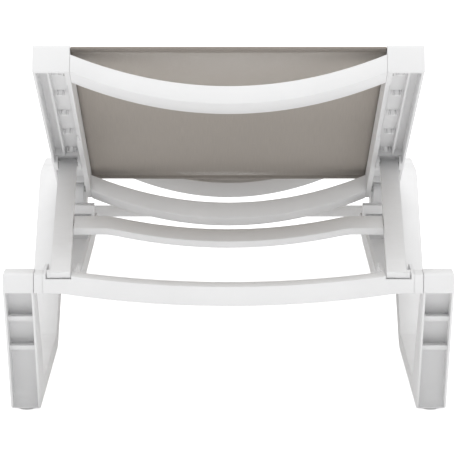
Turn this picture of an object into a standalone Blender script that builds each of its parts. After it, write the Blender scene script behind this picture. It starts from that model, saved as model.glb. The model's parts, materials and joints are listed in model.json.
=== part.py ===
"""Reclining sun lounger: moulded resin frame on sled legs, woven slings, backrest with a propping frame.

Metres, +Z up, the floor at Z = 0 and the foot end towards +Y. The pieces are laid out with the head
end's blocks at Y = 0, then all moved so that the origin lies under the middle. The backrest is modelled
in its own frame: the origin on the hinge axis, -Y towards the head end and +Z out of its upper side.
The prop frame has its origin on its pivot, -Y to its feet.
"""

import math

import bmesh
import bpy
from mathutils import Matrix, Vector

# Overall sizes
WIDTH = 0.72
BACK_LENGTH = 0.815
SEAT_LENGTH = 1.20
SEAT_HEIGHT = 0.318
REST_ANGLE = math.radians(22.1)

# Clearances
FIT = 0.0003
NUDGE = 0.0002
PLAY = 0.0015
SWING = 0.003

# Sled legs and outer bands
LEG_WIDTH = 0.0497
LEG_SKIN = 0.0042
LEG_LIFT = 0.0043
BLOCK_DEPTH = 0.046
BLOCK_HEIGHT = 0.029
BLOCK_DROP = 0.0575
POST_DEPTH = 0.113
POST_LEAN = 0.715
RUNNER_HEIGHT = 0.030
HEAD_SLED_REACH = 1.06
FOOT_SLED_REACH = 0.80
BAND_HEIGHT = 0.044
BAND_DROP = 0.032
SLED_RISE = 0.34
POCKET_DEPTH = 0.045
POCKET_RIM = 0.004
POCKET_RIB = 0.0085
POCKET_RIB_SETBACK = 0.020
POCKET_PITCH = 0.0556
POCKET_BEND = 0.062
GLIDE_LENGTH = 0.046
GLIDE_WIDTH = 0.035
GLIDE_THICKNESS = 0.004

# Side rails of the base
RAIL_WIDTH = 0.047
RAIL_HEIGHT = 0.056
TRACK_SIDE_ROOM = 0.0035
TRACK_WALL = 0.005
TRACK_DROP = 0.087
TRACK_HEIGHT = 0.035
TRACK_NOSE_RISE = 0.028
TRACK_NOSE_RUN = 0.145
RAMP_END = 0.15
RAIL_CHANNEL_WALL = 0.004
RAIL_ROOF = 0.018
RAIL_RIB_PITCH = 0.125
LEG_SCREW_DROP = 0.042
LEG_SCREW_INSET = 0.055

# Backrest
BACK_RAIL_WIDTH = 0.059
BACK_ABOVE_AXIS = 0.034
BACK_BELOW_AXIS = 0.012
BACK_TAIL = 0.026
BACK_SIDE_GAP = 0.0013
CHANNEL_WALL = 0.005
CHANNEL_INNER_WALL = 0.0085
CHANNEL_DEPTH = 0.024
CHANNEL_RIB = 0.0035
CHANNEL_RIB_HEIGHT = 0.011
CHANNEL_SPINE_SHIFT = 0.0062
CHANNEL_END_WALL = 0.006
CHANNEL_SLIT = 0.0028
CHANNEL_SLIT_DEPTH = 0.0085
BOSS_RADIUS = 0.0048
BOSS_START = 0.0145
BOSS_PITCH = 0.1215
BOSS_SINK = 0.0025
BOSS_FENCE = 0.0018
BOSS_FENCE_GAP = 0.0064
RELIEF_WALL = 0.0028
RELIEF_ROOF = -0.0035
RELIEF_START = 0.17
RELIEF_END = 0.52
BACK_EDGE = 0.0022
HINGE_ROOM = -0.045
HEAD_OVERHANG = 0.065
HINGE_DROP = 0.031

# Hinge
EAR_RADIUS = 0.0115
EAR_WIDTH = 0.036
EAR_NECK = 0.030
HINGE_BOX_WIDTH = 0.041
HINGE_BOX_DROP = 0.0215
HINGE_BOX_LID = 0.0155
HINGE_PIN_RADIUS = 0.005
PIN_HEAD_RADIUS = 0.0085
PIN_HEAD = 0.003

# Crossbars
BAR_THICKNESS = 0.030
BAR_WIDTH = 0.061
BACK_BAR_RISE = 0.83
BACK_BAR_SET = 0.0114
HEAD_BAR_HEIGHT = 0.0315
HEAD_BAR_DROP = 0.0592
HEAD_BAR_RISE = 0.276
COLLAR_PLACE = 0.2955
COLLAR_GROOVE = 0.0012
SEAT_BAR_RISE = 1.05
SEAT_BAR_PLACE = 0.50
SEAT_BAR_SET = 0.0094
STRETCHER_RADIUS = 0.0125
STRETCHER_HEIGHT = 0.086
STRETCHER_PLACE = 0.150

# Prop frame
PROP_SHARE = 0.2963
PROP_DROP = 0.010
PROP_ARM_WIDTH = 0.0315
PROP_ARM_THICKNESS = 0.016
PROP_SPLAY = 0.014
PROP_TOE_FLARE = 0.0062
PROP_TOE_LENGTH = 0.012
PROP_FOOT_THICKNESS = 0.010
PROP_FOOT_LENGTH = 0.030
PROP_TOE = 0.010
PROP_PIN_RADIUS = 0.004
PROP_BAR_PLACE = 0.228
PROP_BAR_THICKNESS = 0.0126
PROP_BAR_RISE = 0.60
PROP_BAR_FLAT = 0.060
PROP_BAR_SET = 0.002
PROP_SCREW_SEAT = 0.012
PROP_RAISED_ANGLE = math.radians(60)
PROP_TOE_FALL = 0.0369
FOOT_SEAT_Y = 0.014
FOOT_NOTCH_DEPTH = 0.0083
FOOT_NOTCH_FALL = 0.014
FOOT_REST_GAP = 0.0030
RACK_NOTCHES = 3
RACK_STEP = 9
RACK_NOTCH_LENGTH = 0.020
RACK_NOTCH_DEPTH = 0.004
RACK_CLEARANCE = 0.0045
RACK_SLOPE = 0.30
RACK_TOOTH = 0.004
TRACK_FLOOR = 0.008
BRACKET_LENGTH = 0.032
BRACKET_TURN_ROOM = 0.0105
BRACKET_LUG_DROP = 0.009

# Slings
SLING_THICKNESS = 0.002
SLING_EDGE = 0.0012
SLING_DROP = 0.0046
SLING_OVERHANG = 0.010
SPLINE_RADIUS = 0.0027
GROOVE_RADIUS = 0.0031
GROOVE_INSET = 0.0058
GROOVE_MOUTH = 0.0034
GROOVE_END = 0.006

# Screws
SCREW_RADIUS = 0.0025
SCREW_HEAD_RADIUS = 0.005
SCREW_HEAD = 0.0028
SCREW_LENGTH = 0.026
BLOCK_SCREW_SEAT = 0.008

# Places worked out from the sizes above
HALF_WIDTH = WIDTH / 2
LEG_INNER = HALF_WIDTH - LEG_WIDTH
RAIL_OUTER = LEG_INNER - FIT
RAIL_INNER = RAIL_OUTER - RAIL_WIDTH
HINGE_Y = BACK_LENGTH - HEAD_OVERHANG
HINGE_Z = SEAT_HEIGHT - HINGE_DROP
FOOT_Y = HINGE_Y + SEAT_LENGTH
BLOCK_TOP = SEAT_HEIGHT - BLOCK_DROP
BAND_TOP = SEAT_HEIGHT - BAND_DROP
BACK_OUTER = LEG_INNER - BACK_SIDE_GAP
BACK_INNER = BACK_OUTER - BACK_RAIL_WIDTH
CHANNEL_OUTER = BACK_OUTER - CHANNEL_WALL
CHANNEL_INNER = BACK_INNER + CHANNEL_INNER_WALL
CHANNEL_MIDDLE = (CHANNEL_INNER + CHANNEL_OUTER) / 2
CHANNEL_ROOF = -BACK_BELOW_AXIS + CHANNEL_DEPTH
EAR_MIDDLE = CHANNEL_MIDDLE + 0.0008
TRACK_TOP = SEAT_HEIGHT - TRACK_DROP
TRACK_BOTTOM = TRACK_TOP - TRACK_HEIGHT
HEAD_BAR_TOP = SEAT_HEIGHT - HEAD_BAR_DROP
NOTCH_FLOOR = HEAD_BAR_TOP - FOOT_NOTCH_DEPTH
RAIL_START = HINGE_Y + math.hypot(BACK_TAIL, BACK_ABOVE_AXIS) + SWING
PROP_PLACE = HINGE_Y * PROP_SHARE
PROP_MIDDLE = CHANNEL_MIDDLE + 0.0005
ARM_HALF = PROP_ARM_WIDTH / 2
FOOT_MIDDLE = PROP_MIDDLE - PROP_SPLAY
TRACK_INNER = FOOT_MIDDLE - ARM_HALF - TRACK_SIDE_ROOM - TRACK_WALL
TRACK_OUTER = FOOT_MIDDLE + ARM_HALF + PROP_TOE_FLARE + TRACK_SIDE_ROOM + TRACK_WALL
SPINE_MIDDLE = CHANNEL_MIDDLE + CHANNEL_SPINE_SHIFT
FOOT_Z = NOTCH_FLOOR + PROP_FOOT_THICKNESS / 2 + FOOT_REST_GAP
SEAT_BAR_MIDDLE = SEAT_HEIGHT - SLING_DROP - SEAT_BAR_SET - BAR_THICKNESS / 2
LEG_SCREW_Z = SEAT_HEIGHT - LEG_SCREW_DROP
BAND_JOINT_Y = (HEAD_SLED_REACH + FOOT_Y - FOOT_SLED_REACH) / 2


def back_point(along, above, angle):
    """World (y, z) of a backrest point, at a distance from the hinge towards the head end."""
    y = HINGE_Y - along * math.cos(angle) + above * math.sin(angle)
    z = HINGE_Z + along * math.sin(angle) + above * math.cos(angle)
    return y, z


PIVOT_Y, PIVOT_Z = back_point(PROP_PLACE, -PROP_DROP, REST_ANGLE)
PROP_LENGTH = math.hypot(PIVOT_Y - FOOT_SEAT_Y, PIVOT_Z - FOOT_Z)
PROP_SLOPE = math.atan2(PIVOT_Z - FOOT_Z, PIVOT_Y - FOOT_SEAT_Y)
PROP_BAR_Y = -(PROP_LENGTH - PROP_BAR_PLACE)


def prop_ratio():
    """How far the prop turns per turn of the backrest, so that its toes follow the rack's slope."""
    y, z = back_point(PROP_PLACE, -PROP_DROP, PROP_RAISED_ANGLE)
    reach = PROP_LENGTH + PROP_TOE
    rest_toe = PIVOT_Z - reach * math.sin(PROP_SLOPE)
    slope = math.asin((z - rest_toe + PROP_TOE_FALL) / reach)
    return 1 + (slope - PROP_SLOPE) / (PROP_RAISED_ANGLE - REST_ANGLE)


def toe_point(angle):
    """World (y, z) of the tip of the prop's foot with the backrest at an angle."""
    slope = PROP_SLOPE + (prop_ratio() - 1) * (angle - REST_ANGLE)
    y, z = back_point(PROP_PLACE, -PROP_DROP, angle)
    reach = PROP_LENGTH + PROP_TOE
    return y - reach * math.cos(slope), z - reach * math.sin(slope)


# ---------------------------------------------------------------- materials


def plastic(name, grey, roughness):
    material = bpy.data.materials.new(name)
    material.use_nodes = True
    shader = material.node_tree.nodes["Principled BSDF"]
    shader.inputs["Base Color"].default_value = (*grey, 1)
    shader.inputs["Roughness"].default_value = roughness
    shader.inputs["Metallic"].default_value = 0
    return material


def metal(name, grey, roughness):
    material = plastic(name, grey, roughness)
    material.node_tree.nodes["Principled BSDF"].inputs["Metallic"].default_value = 1
    return material


# ---------------------------------------------------------------- mesh helpers


def clear_scene():
    for item in list(bpy.data.objects):
        bpy.data.objects.remove(item, do_unlink=True)


def add_object(name, mesh_work, material=None, parent=None):
    """An object from a bmesh; one with no material is a cutter or a piece to be joined."""
    bmesh.ops.recalc_face_normals(mesh_work, faces=mesh_work.faces[:])
    mesh = bpy.data.meshes.new(name)
    mesh_work.to_mesh(mesh)
    mesh_work.free()
    item = bpy.data.objects.new(name, mesh)
    bpy.context.scene.collection.objects.link(item)
    if material is None:
        item.hide_render = True
        item.display_type = "WIRE"
    else:
        mesh.materials.append(material)
    item.parent = parent
    return item


def loft(sections):
    """A closed bmesh through sections of equal point count, capped at both ends."""
    work = bmesh.new()
    rings = [[work.verts.new(point) for point in section] for section in sections]
    count = len(rings[0])
    for first, second in zip(rings, rings[1:]):
        for i in range(count):
            j = (i + 1) % count
            work.faces.new((first[i], first[j], second[j], second[i]))
    work.faces.new(rings[0])
    work.faces.new(rings[-1])
    return work


def prism_x(outline, low, high):
    """An outline of (y, z) points drawn out along X."""
    return loft([[(x, y, z) for y, z in outline] for x in (low, high)])


def prism_y(outline, low, high):
    """An outline of (x, z) points drawn out along Y."""
    return loft([[(x, y, z) for x, z in outline] for y in (low, high)])


def prism_z(outline, low, high):
    """An outline of (x, y) points drawn out along Z."""
    return loft([[(x, y, z) for x, y in outline] for z in (low, high)])


def box(low, high):
    outline = [(low[1], low[2]), (high[1], low[2]), (high[1], high[2]), (low[1], high[2])]
    return prism_x(outline, low[0], high[0])


def rounded(corners, steps=4):
    """The outline through corners (y, z, radius), each corner turned into an arc."""
    points = []
    count = len(corners)
    for i, (y, z, radius) in enumerate(corners):
        here = Vector((y, z))
        if radius == 0:
            points.append((y, z))
            continue
        before = Vector(corners[i - 1][:2]) - here
        after = Vector(corners[(i + 1) % count][:2]) - here
        half = before.angle(after) / 2
        reach = radius / math.tan(half)
        centre = here + (before.normalized() + after.normalized()).normalized() * (
            radius / math.sin(half)
        )
        start = here + before.normalized() * reach - centre
        end = here + after.normalized() * reach - centre
        turn = math.atan2(start.x * end.y - start.y * end.x, start.dot(end))
        for step in range(steps + 1):
            arm = Matrix.Rotation(turn * step / steps, 2) @ start
            points.append((centre.x + arm.x, centre.y + arm.y))
    return points


def circle(middle, radius, count=12):
    """Points of a circle whose flats, not corners, touch the radius from outside when it is cut."""
    turns = [math.tau * (i + 0.5) / count for i in range(count)]
    return [(middle[0] + radius * math.cos(a), middle[1] + radius * math.sin(a)) for a in turns]


def rod_x(middle, radius, low, high, count=12):
    return prism_x(circle(middle, radius, count), low, high)


def rod_y(middle, radius, low, high, count=12):
    return prism_y(circle(middle, radius, count), low, high)


def edge_rounder(side, x, z, turn, radius, low, high, steps=4):
    """A cutter that rounds one long outer edge: the corner outside a quarter circle."""
    out = 0.003
    outline = [(side * (x + out), z - turn * out), (side * (x + out), z + turn * radius)]
    for i in range(steps + 1):
        angle = math.pi / 2 * i / steps
        across_x = x - radius + radius * math.cos(angle)
        outline.append((side * across_x, z + turn * (radius - radius * math.sin(angle))))
    outline.append((side * (x - radius), z - turn * out))
    return prism_y(outline, low - out, high + out)


def change(item, tool, operation):
    """Cuts a tool from an item, or joins it to the item."""
    boolean = item.modifiers.new(operation.lower(), "BOOLEAN")
    boolean.operation = operation
    boolean.object = tool
    boolean.solver = "EXACT"


def cut(item, *works):
    for work in works:
        tool = add_object(item.name + "_cutter", work, parent=item.parent)
        change(item, tool, "DIFFERENCE")


def join(item, *works):
    for work in works:
        tool = add_object(item.name + "_extra", work, parent=item.parent)
        change(item, tool, "UNION")


def soften(item, width, segments=1, angle=40):
    """Rounds the moulded edges."""
    bevel = item.modifiers.new("soft_edges", "BEVEL")
    bevel.width = width
    bevel.segments = segments
    bevel.limit_method = "ANGLE"
    bevel.angle_limit = math.radians(angle)
    bevel.harden_normals = False


def smooth(item):
    item.data.shade_smooth()
    item.data.set_sharp_from_angle(angle=math.radians(40))


def side_name(side):
    return "left" if side < 0 else "right"


def across(side, low, high):
    """The X range of a piece on one side, in rising order."""
    return tuple(sorted((side * low, side * high)))


# ---------------------------------------------------------------- legs


def sled_outline(end, direction, reach):
    """The side view of a sled leg: block, leaning post, runner, rising arm and band."""
    lean = POST_LEAN
    foot = LEG_LIFT
    drop = BLOCK_TOP - BLOCK_HEIGHT - foot
    rise_top = reach - 0.03
    rise_foot = rise_top - SLED_RISE
    runner_top = foot + RUNNER_HEIGHT
    band_bottom = BAND_TOP - BAND_HEIGHT
    corners = [
        (0, BLOCK_TOP, 0.006),
        (0, BLOCK_TOP - BLOCK_HEIGHT, 0.010),
        (drop * lean, foot, 0.012),
        (rise_foot, foot, 0.090),
        (rise_top + 0.03, band_bottom, 0.060),
        (abs(BAND_JOINT_Y - end) - FIT, band_bottom, 0),
        (abs(BAND_JOINT_Y - end) - FIT, BAND_TOP, 0),
        (rise_top - 0.02, BAND_TOP, 0.070),
        (rise_foot - 0.03, runner_top, 0.030),
        (drop * lean + POST_DEPTH, runner_top, 0.018),
        (BLOCK_DEPTH + 0.026, BLOCK_TOP - BLOCK_HEIGHT, 0.050),
        (BLOCK_DEPTH, BLOCK_TOP, 0.004),
    ]
    return [(end + direction * y, z) for y, z in rounded(corners)]


def post_pockets(end, direction):
    """The hollow in the back of a leaning post: an outline for all of it, then one for each gap."""
    top = BLOCK_TOP - BLOCK_HEIGHT
    high = top - POCKET_RIM
    low = LEG_LIFT + POCKET_RIM

    def sunk(depth, z):
        return (top - z) * POST_LEAN + depth, z

    def hollow(depth, upper, lower, bend):
        """From its mouth in to a depth, down, and back out, either square or in a sweep."""
        outline = [sunk(-0.012, upper), sunk(depth, upper)]
        if bend:
            sweep = [math.pi / 2 * i / 8 for i in range(9)]
            outline += [sunk(depth * math.cos(a), lower + bend * (1 - math.sin(a))) for a in sweep]
        else:
            outline.append(sunk(depth, lower))
        return outline + [sunk(-0.012, lower)]

    outlines = [hollow(POCKET_RIB_SETBACK, high, low, POCKET_BEND)]
    while high - POCKET_PITCH > low + POCKET_PITCH:
        outlines.append(hollow(POCKET_DEPTH, high, high - POCKET_PITCH + POCKET_RIB, 0))
        high -= POCKET_PITCH
    outlines.append(hollow(POCKET_DEPTH, high, low, POCKET_BEND))
    return [[(end + direction * y, z) for y, z in outline] for outline in outlines]


def make_leg(name, end, direction, reach, side, material):
    low, high = across(side, LEG_INNER, HALF_WIDTH)
    leg = add_object(name, prism_x(sled_outline(end, direction, reach), low, high), material)
    soften(leg, 0.003, 2)
    for outline in post_pockets(end, direction):
        cut(leg, prism_x(outline, low + LEG_SKIN, high - LEG_SKIN))
    head_end = direction > 0
    for place in leg_screw_places().values():
        if (place < BAND_JOINT_Y) == head_end:
            x0, x1 = across(side, LEG_INNER - 0.01, LEG_INNER + SCREW_LENGTH - 0.002)
            cut(leg, rod_x((place, LEG_SCREW_Z), SCREW_RADIUS + FIT, x0, x1, 8))
    if head_end:
        x0, x1 = across(side, LEG_INNER - 0.01, HALF_WIDTH + 0.01)
        cut(leg, rod_x(block_screw_place(), SCREW_RADIUS + FIT, x0, x1, 8))
        x0, x1 = across(side, LEG_INNER + BLOCK_SCREW_SEAT, HALF_WIDTH + 0.01)
        cut(leg, rod_x(block_screw_place(), SCREW_HEAD_RADIUS + 0.0015, x0, x1))
    smooth(leg)


def block_screw_place():
    """Where a screw through a head-end block meets the head crossbar's end."""
    return BLOCK_DEPTH / 2, HEAD_BAR_TOP - HEAD_BAR_HEIGHT / 2


def make_glide(name, place, side, material):
    middle = side * (LEG_INNER + LEG_WIDTH / 2)
    sections = []
    for share, z in ((0.88, 0), (1, GLIDE_THICKNESS / 2), (1, GLIDE_THICKNESS)):
        ring = circle((0, 0), share, 16)
        sections.append(
            [(middle + x * GLIDE_WIDTH / 2, place + y * GLIDE_LENGTH / 2, z) for x, y in ring]
        )
    smooth(add_object(name, loft(sections), material))


def make_legs(resin, rubber):
    for side in (-1, 1):
        word = side_name(side)
        lean = (BLOCK_TOP - BLOCK_HEIGHT - LEG_LIFT) * POST_LEAN
        make_leg("head_leg_" + word, 0, 1, HEAD_SLED_REACH, side, resin)
        make_leg("foot_leg_" + word, FOOT_Y, -1, FOOT_SLED_REACH, side, resin)
        near = lean + GLIDE_LENGTH / 2 + 0.012
        far = SLED_RISE + GLIDE_LENGTH + 0.055
        make_glide("head_glide_rear_" + word, near, side, rubber)
        make_glide("head_glide_front_" + word, HEAD_SLED_REACH - far, side, rubber)
        make_glide("foot_glide_front_" + word, FOOT_Y - near, side, rubber)
        make_glide("foot_glide_rear_" + word, FOOT_Y - FOOT_SLED_REACH + far, side, rubber)


# ---------------------------------------------------------------- crossbars


def arched_bar(half, rise, width, thickness, top, centre_y=0, flat=0.0, count=14):
    """A bar across X whose middle hangs in a parabola, level for a stretch at each end."""
    sections = []
    span = half - flat
    edge = 0.0022
    for i in range(-count, count + 1):
        x = half * i / count
        drop = rise * max(span**2 - x**2, 0)
        back, front = centre_y - width / 2, centre_y + width / 2
        high, low = top - drop, top - drop - thickness
        outline = rounded(
            [(back, high, edge), (back, low, edge), (front, low, edge), (front, high, edge)], 2
        )
        sections.append([(x, y, z) for y, z in outline])
    return loft(sections)


def make_head_crossbar(material):
    half = LEG_INNER - FIT
    work = arched_bar(
        half, HEAD_BAR_RISE, BLOCK_DEPTH, HEAD_BAR_HEIGHT, HEAD_BAR_TOP, BLOCK_DEPTH / 2, 0.04
    )
    bar = add_object("head_crossbar", work, material)
    inner = FOOT_MIDDLE - ARM_HALF - PLAY
    outer = FOOT_MIDDLE + ARM_HALF + PROP_TOE_FLARE + PLAY
    # The notches that the prop's feet rest in: their floors fall away, clear of a foot on its way out.
    slope = FOOT_NOTCH_FALL / (BLOCK_DEPTH - FOOT_SEAT_Y)
    far = BLOCK_DEPTH + 0.01
    outline = [(-0.01, BLOCK_TOP), (-0.01, NOTCH_FLOOR), (FOOT_SEAT_Y, NOTCH_FLOOR)]
    outline += [(far, NOTCH_FLOOR - slope * (far - FOOT_SEAT_Y)), (far, BLOCK_TOP)]
    for side in (-1, 1):
        low, high = across(side, inner, outer)
        cut(bar, prism_x(outline, low, high))
        x0, x1 = across(side, COLLAR_PLACE, COLLAR_PLACE + COLLAR_GROOVE)
        cut(bar, box((x0, -0.01, 0), (x1, COLLAR_GROOVE / 2, BLOCK_TOP)))
        top = HEAD_BAR_TOP - COLLAR_GROOVE / 2
        cut(bar, box((x0, -0.01, top), (x1, BLOCK_DEPTH + 0.01, BLOCK_TOP)))
    screw_holes(bar, side_screws(half, *block_screw_place()))
    smooth(bar)


def seat_bar_places():
    return {"middle": HINGE_Y + SEAT_BAR_PLACE, "foot": FOOT_Y - BAR_WIDTH / 2 - 0.004}


def leg_screw_places():
    """Where the seat rails are screwed to the legs' bands."""
    return {
        "head": BAND_JOINT_Y - LEG_SCREW_INSET,
        "middle": BAND_JOINT_Y + LEG_SCREW_INSET,
        "foot": FOOT_Y - 0.12,
    }


def make_seat_crossbars(material):
    half = RAIL_INNER - FIT
    for part, place in seat_bar_places().items():
        top = SEAT_BAR_MIDDLE + BAR_THICKNESS / 2
        work = arched_bar(half, SEAT_BAR_RISE, BAR_WIDTH, BAR_THICKNESS, top, place)
        bar = add_object("seat_crossbar_" + part, work, material)
        screw_holes(bar, side_screws(half, place, SEAT_BAR_MIDDLE))
        smooth(bar)


def make_stretcher(material):
    place = FOOT_Y - STRETCHER_PLACE
    half = LEG_INNER - FIT
    work = rod_x((place, STRETCHER_HEIGHT), STRETCHER_RADIUS, -half, half, 16)
    smooth(add_object("foot_stretcher", work, material))


# ---------------------------------------------------------------- screws


def side_screws(half, y, z):
    """Where the two screws sit that hold a bar's ends: the wall's inner face, side by side."""
    return [(side, half, y, z) for side in (-1, 1)]


def screw_holes(item, screws):
    for side, face, y, z in screws:
        low, high = across(side, face - SCREW_LENGTH - PLAY, face + 0.05)
        cut(item, rod_x((y, z), SCREW_RADIUS + FIT, low, high, 8))


def make_screw(name, side, seat, y, z, material, parent=None, inwards=1):
    """A pan-head screw on its seat, its shank pointing to the middle (1) or outwards (-1)."""
    near, far = seat + inwards * FIT, seat + inwards * (FIT + SCREW_HEAD)
    low, high = across(side, near, far)
    head = add_object(name, rod_x((y, z), SCREW_HEAD_RADIUS, low, high, 12), material, parent)
    low, high = across(side, seat - inwards * (SCREW_LENGTH - SCREW_HEAD), seat + inwards * 0.0013)
    join(head, rod_x((y, z), SCREW_RADIUS - FIT, low, high, 8))
    smooth(head)


# ---------------------------------------------------------------- base rails


def rail_outline():
    """The side view of a seat rail with its hinge ear and the neck below it."""
    neck = EAR_NECK / 2
    low = TRACK_TOP - 0.020
    rail_low = SEAT_HEIGHT - RAIL_HEIGHT
    ear = [
        (HINGE_Y + EAR_RADIUS * math.cos(a), HINGE_Z + EAR_RADIUS * math.sin(a))
        for a in (math.pi * i / 8 for i in range(9))
    ]
    shoulder = HINGE_Z - 0.036
    return (
        [(HINGE_Y - 0.050, low), (HINGE_Y + 0.085, low)]
        + [(HINGE_Y + RAMP_END, rail_low), (FOOT_Y - 0.001, rail_low), (FOOT_Y - 0.001, SEAT_HEIGHT)]
        + [(RAIL_START, SEAT_HEIGHT), (RAIL_START, shoulder), (HINGE_Y + neck, shoulder)]
        + [(HINGE_Y + EAR_RADIUS, HINGE_Z - 0.012)]
        + ear
        + [(HINGE_Y - EAR_RADIUS, HINGE_Z - 0.012), (HINGE_Y - neck, shoulder)]
        + [(HINGE_Y - 0.050, TRACK_TOP - 0.002)]
    )


def rack_angles():
    """The backrest's angles, in whole degrees, whose toes get a notch: the first is clear of the crossbar."""
    nearest = BLOCK_DEPTH + 0.3 * RACK_NOTCH_LENGTH + RACK_TOOTH + 2 * FIT
    first = next(a for a in range(20, 90) if toe_point(math.radians(a))[0] > nearest)
    return [first + i * RACK_STEP for i in range(RACK_NOTCHES)]


def rack_outline():
    """The side view of the track's floor, whose top steps down in notches along the foot's path."""
    start = BLOCK_DEPTH + FIT
    points = [(start, NOTCH_FLOOR - FOOT_NOTCH_FALL - PLAY)]
    for degrees in rack_angles():
        y, z = toe_point(math.radians(degrees))
        floor = z - PROP_FOOT_THICKNESS / 2 - RACK_CLEARANCE
        back = 0.3 * RACK_NOTCH_LENGTH
        front = 0.7 * RACK_NOTCH_LENGTH
        points += [
            (y - back - RACK_TOOTH, floor + RACK_SLOPE * (back + RACK_TOOTH)),
            (y - back, floor - RACK_NOTCH_DEPTH),
            (y + front, floor - RACK_NOTCH_DEPTH),
            (y + front + RACK_TOOTH / 2, floor - RACK_SLOPE * (front + RACK_TOOTH / 2)),
        ]
    end = HINGE_Y - 0.040
    level = TRACK_BOTTOM + TRACK_FLOOR
    points += [(points[-1][0] + 0.02, level), (end, level), (end, TRACK_BOTTOM)]
    points += [(BLOCK_DEPTH + TRACK_NOSE_RUN, TRACK_BOTTOM), (start, TRACK_BOTTOM + TRACK_NOSE_RISE)]
    return points


def track_wall_outline(top):
    """The side view of a wall of the track that the prop's arm lies in."""
    end = HINGE_Y - 0.036
    start = BLOCK_DEPTH + FIT
    return rounded(
        [
            (start, top, 0),
            (start + 0.075, top, 0.03),
            (start + 0.120, TRACK_TOP, 0.03),
            (end, TRACK_TOP, 0),
            (end, TRACK_BOTTOM, 0),
            (BLOCK_DEPTH + TRACK_NOSE_RUN, TRACK_BOTTOM, 0),
            (start, TRACK_BOTTOM + TRACK_NOSE_RISE, 0),
        ]
    )


def cut_groove(rail, side, edge, top, first, last):
    """The groove for a sling's edge rod, open along the rail's inner face."""
    middle = top - SLING_DROP
    mouth = GROOVE_MOUTH / 2
    cut(rail, rod_y((side * (edge + GROOVE_INSET), middle), GROOVE_RADIUS, first, last))
    x0, x1 = across(side, edge - 0.002, edge + GROOVE_INSET)
    cut(rail, box((x0, first, middle - mouth), (x1, last, middle + mouth)))


def make_base_rail(side, material):
    word = side_name(side)
    low, high = across(side, RAIL_INNER, RAIL_OUTER)
    rail = add_object("base_rail_" + word, prism_x(rail_outline(), low, high), material)
    # The ear and its neck are narrower than the rail, to enter the backrest's channel.
    ear_low, ear_high = EAR_MIDDLE - EAR_WIDTH / 2, EAR_MIDDLE + EAR_WIDTH / 2
    lower = TRACK_TOP - 0.001
    for edge_low, edge_high in ((ear_high, RAIL_OUTER + 0.01), (RAIL_INNER - 0.01, ear_low)):
        if edge_high - edge_low > 0.0101:
            x0, x1 = across(side, edge_low, edge_high)
            cut(rail, box((x0, HINGE_Y - 0.06, lower), (x1, RAIL_START - 0.0005, SEAT_HEIGHT + 0.01)))
    track_low, track_high = TRACK_INNER, TRACK_OUTER
    x0, x1 = across(side, track_low, track_high)
    join(rail, prism_x(rack_outline(), x0 + 0.001, x1 - 0.001))
    x0, x1 = across(side, track_low, track_low + TRACK_WALL)
    join(rail, prism_x(track_wall_outline(HEAD_BAR_TOP - 0.001), x0, x1))
    x0, x1 = across(side, track_high - TRACK_WALL, track_high)
    join(rail, prism_x(track_wall_outline(BLOCK_TOP - 0.004), x0, x1))
    x0, x1 = across(side, track_low + 0.0005, track_high - 0.0005)
    join(rail, box((x0, HINGE_Y - 0.060, TRACK_BOTTOM + 0.0005), (x1, HINGE_Y + 0.080, TRACK_TOP - 0.0008)))
    # The box that closes the track below the hinge, hollow towards the head end.
    x0, x1 = across(side, track_low, track_low + HINGE_BOX_WIDTH)
    top = HINGE_Z - HINGE_BOX_DROP
    head, tail = HINGE_Y - 0.059, HINGE_Y - 0.027
    join(rail, box((x0, head, TRACK_TOP - 0.003), (x1, tail, top)))
    x0, x1 = across(side, track_low + TRACK_WALL, track_low + HINGE_BOX_WIDTH - 0.003)
    cut(rail, box((x0, head - 0.01, TRACK_TOP + 0.001), (x1, tail - 0.009, top - HINGE_BOX_LID)))
    cut_groove(rail, side, RAIL_INNER, SEAT_HEIGHT, RAIL_START - 0.01, FOOT_Y - GROOVE_END)
    low, high = across(side, EAR_MIDDLE - 0.03, EAR_MIDDLE + 0.03)
    cut(rail, rod_x((HINGE_Y, HINGE_Z), HINGE_PIN_RADIUS + FIT, low, high))
    for pocket in rail_pockets(side):
        cut(rail, pocket)
    inner_wall = across(side, RAIL_INNER - 0.01, RAIL_INNER + RAIL_CHANNEL_WALL + 0.001)
    for place in seat_bar_places().values():
        cut(rail, rod_x((place, SEAT_BAR_MIDDLE), SCREW_RADIUS + FIT, *inner_wall, 8))
    outer_wall = across(side, RAIL_OUTER - RAIL_CHANNEL_WALL - 0.001, RAIL_OUTER + 0.01)
    for place in leg_screw_places().values():
        cut(rail, rod_x((place, LEG_SCREW_Z), SCREW_RADIUS + FIT, *outer_wall, 8))
    smooth(rail)


def rail_pockets(side):
    """The hollows under the seat rail, with a rib between each pair."""
    x0, x1 = across(side, RAIL_INNER + RAIL_CHANNEL_WALL, RAIL_OUTER - RAIL_CHANNEL_WALL)
    first = HINGE_Y + RAMP_END + 0.010
    last = FOOT_Y - 0.008
    count = max(1, round((last - first) / RAIL_RIB_PITCH))
    pitch = (last - first) / count
    low, high = SEAT_HEIGHT - RAIL_HEIGHT - 0.01, SEAT_HEIGHT - RAIL_ROOF
    room = CHANNEL_RIB / 2
    pockets = [
        box((x0, first + i * pitch + room, low), (x1, first + (i + 1) * pitch - room, high))
        for i in range(count)
    ]
    # Room for the screws' heads, wherever they fall between the ribs.
    room = SCREW_HEAD_RADIUS + 2 * PLAY
    x0, x1 = across(side, RAIL_INNER + RAIL_CHANNEL_WALL + FIT, RAIL_OUTER - RAIL_CHANNEL_WALL - FIT)
    for place in [*seat_bar_places().values(), *leg_screw_places().values()]:
        pockets.append(box((x0, place - room, low), (x1, place + room, high - FIT)))
    return pockets


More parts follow.
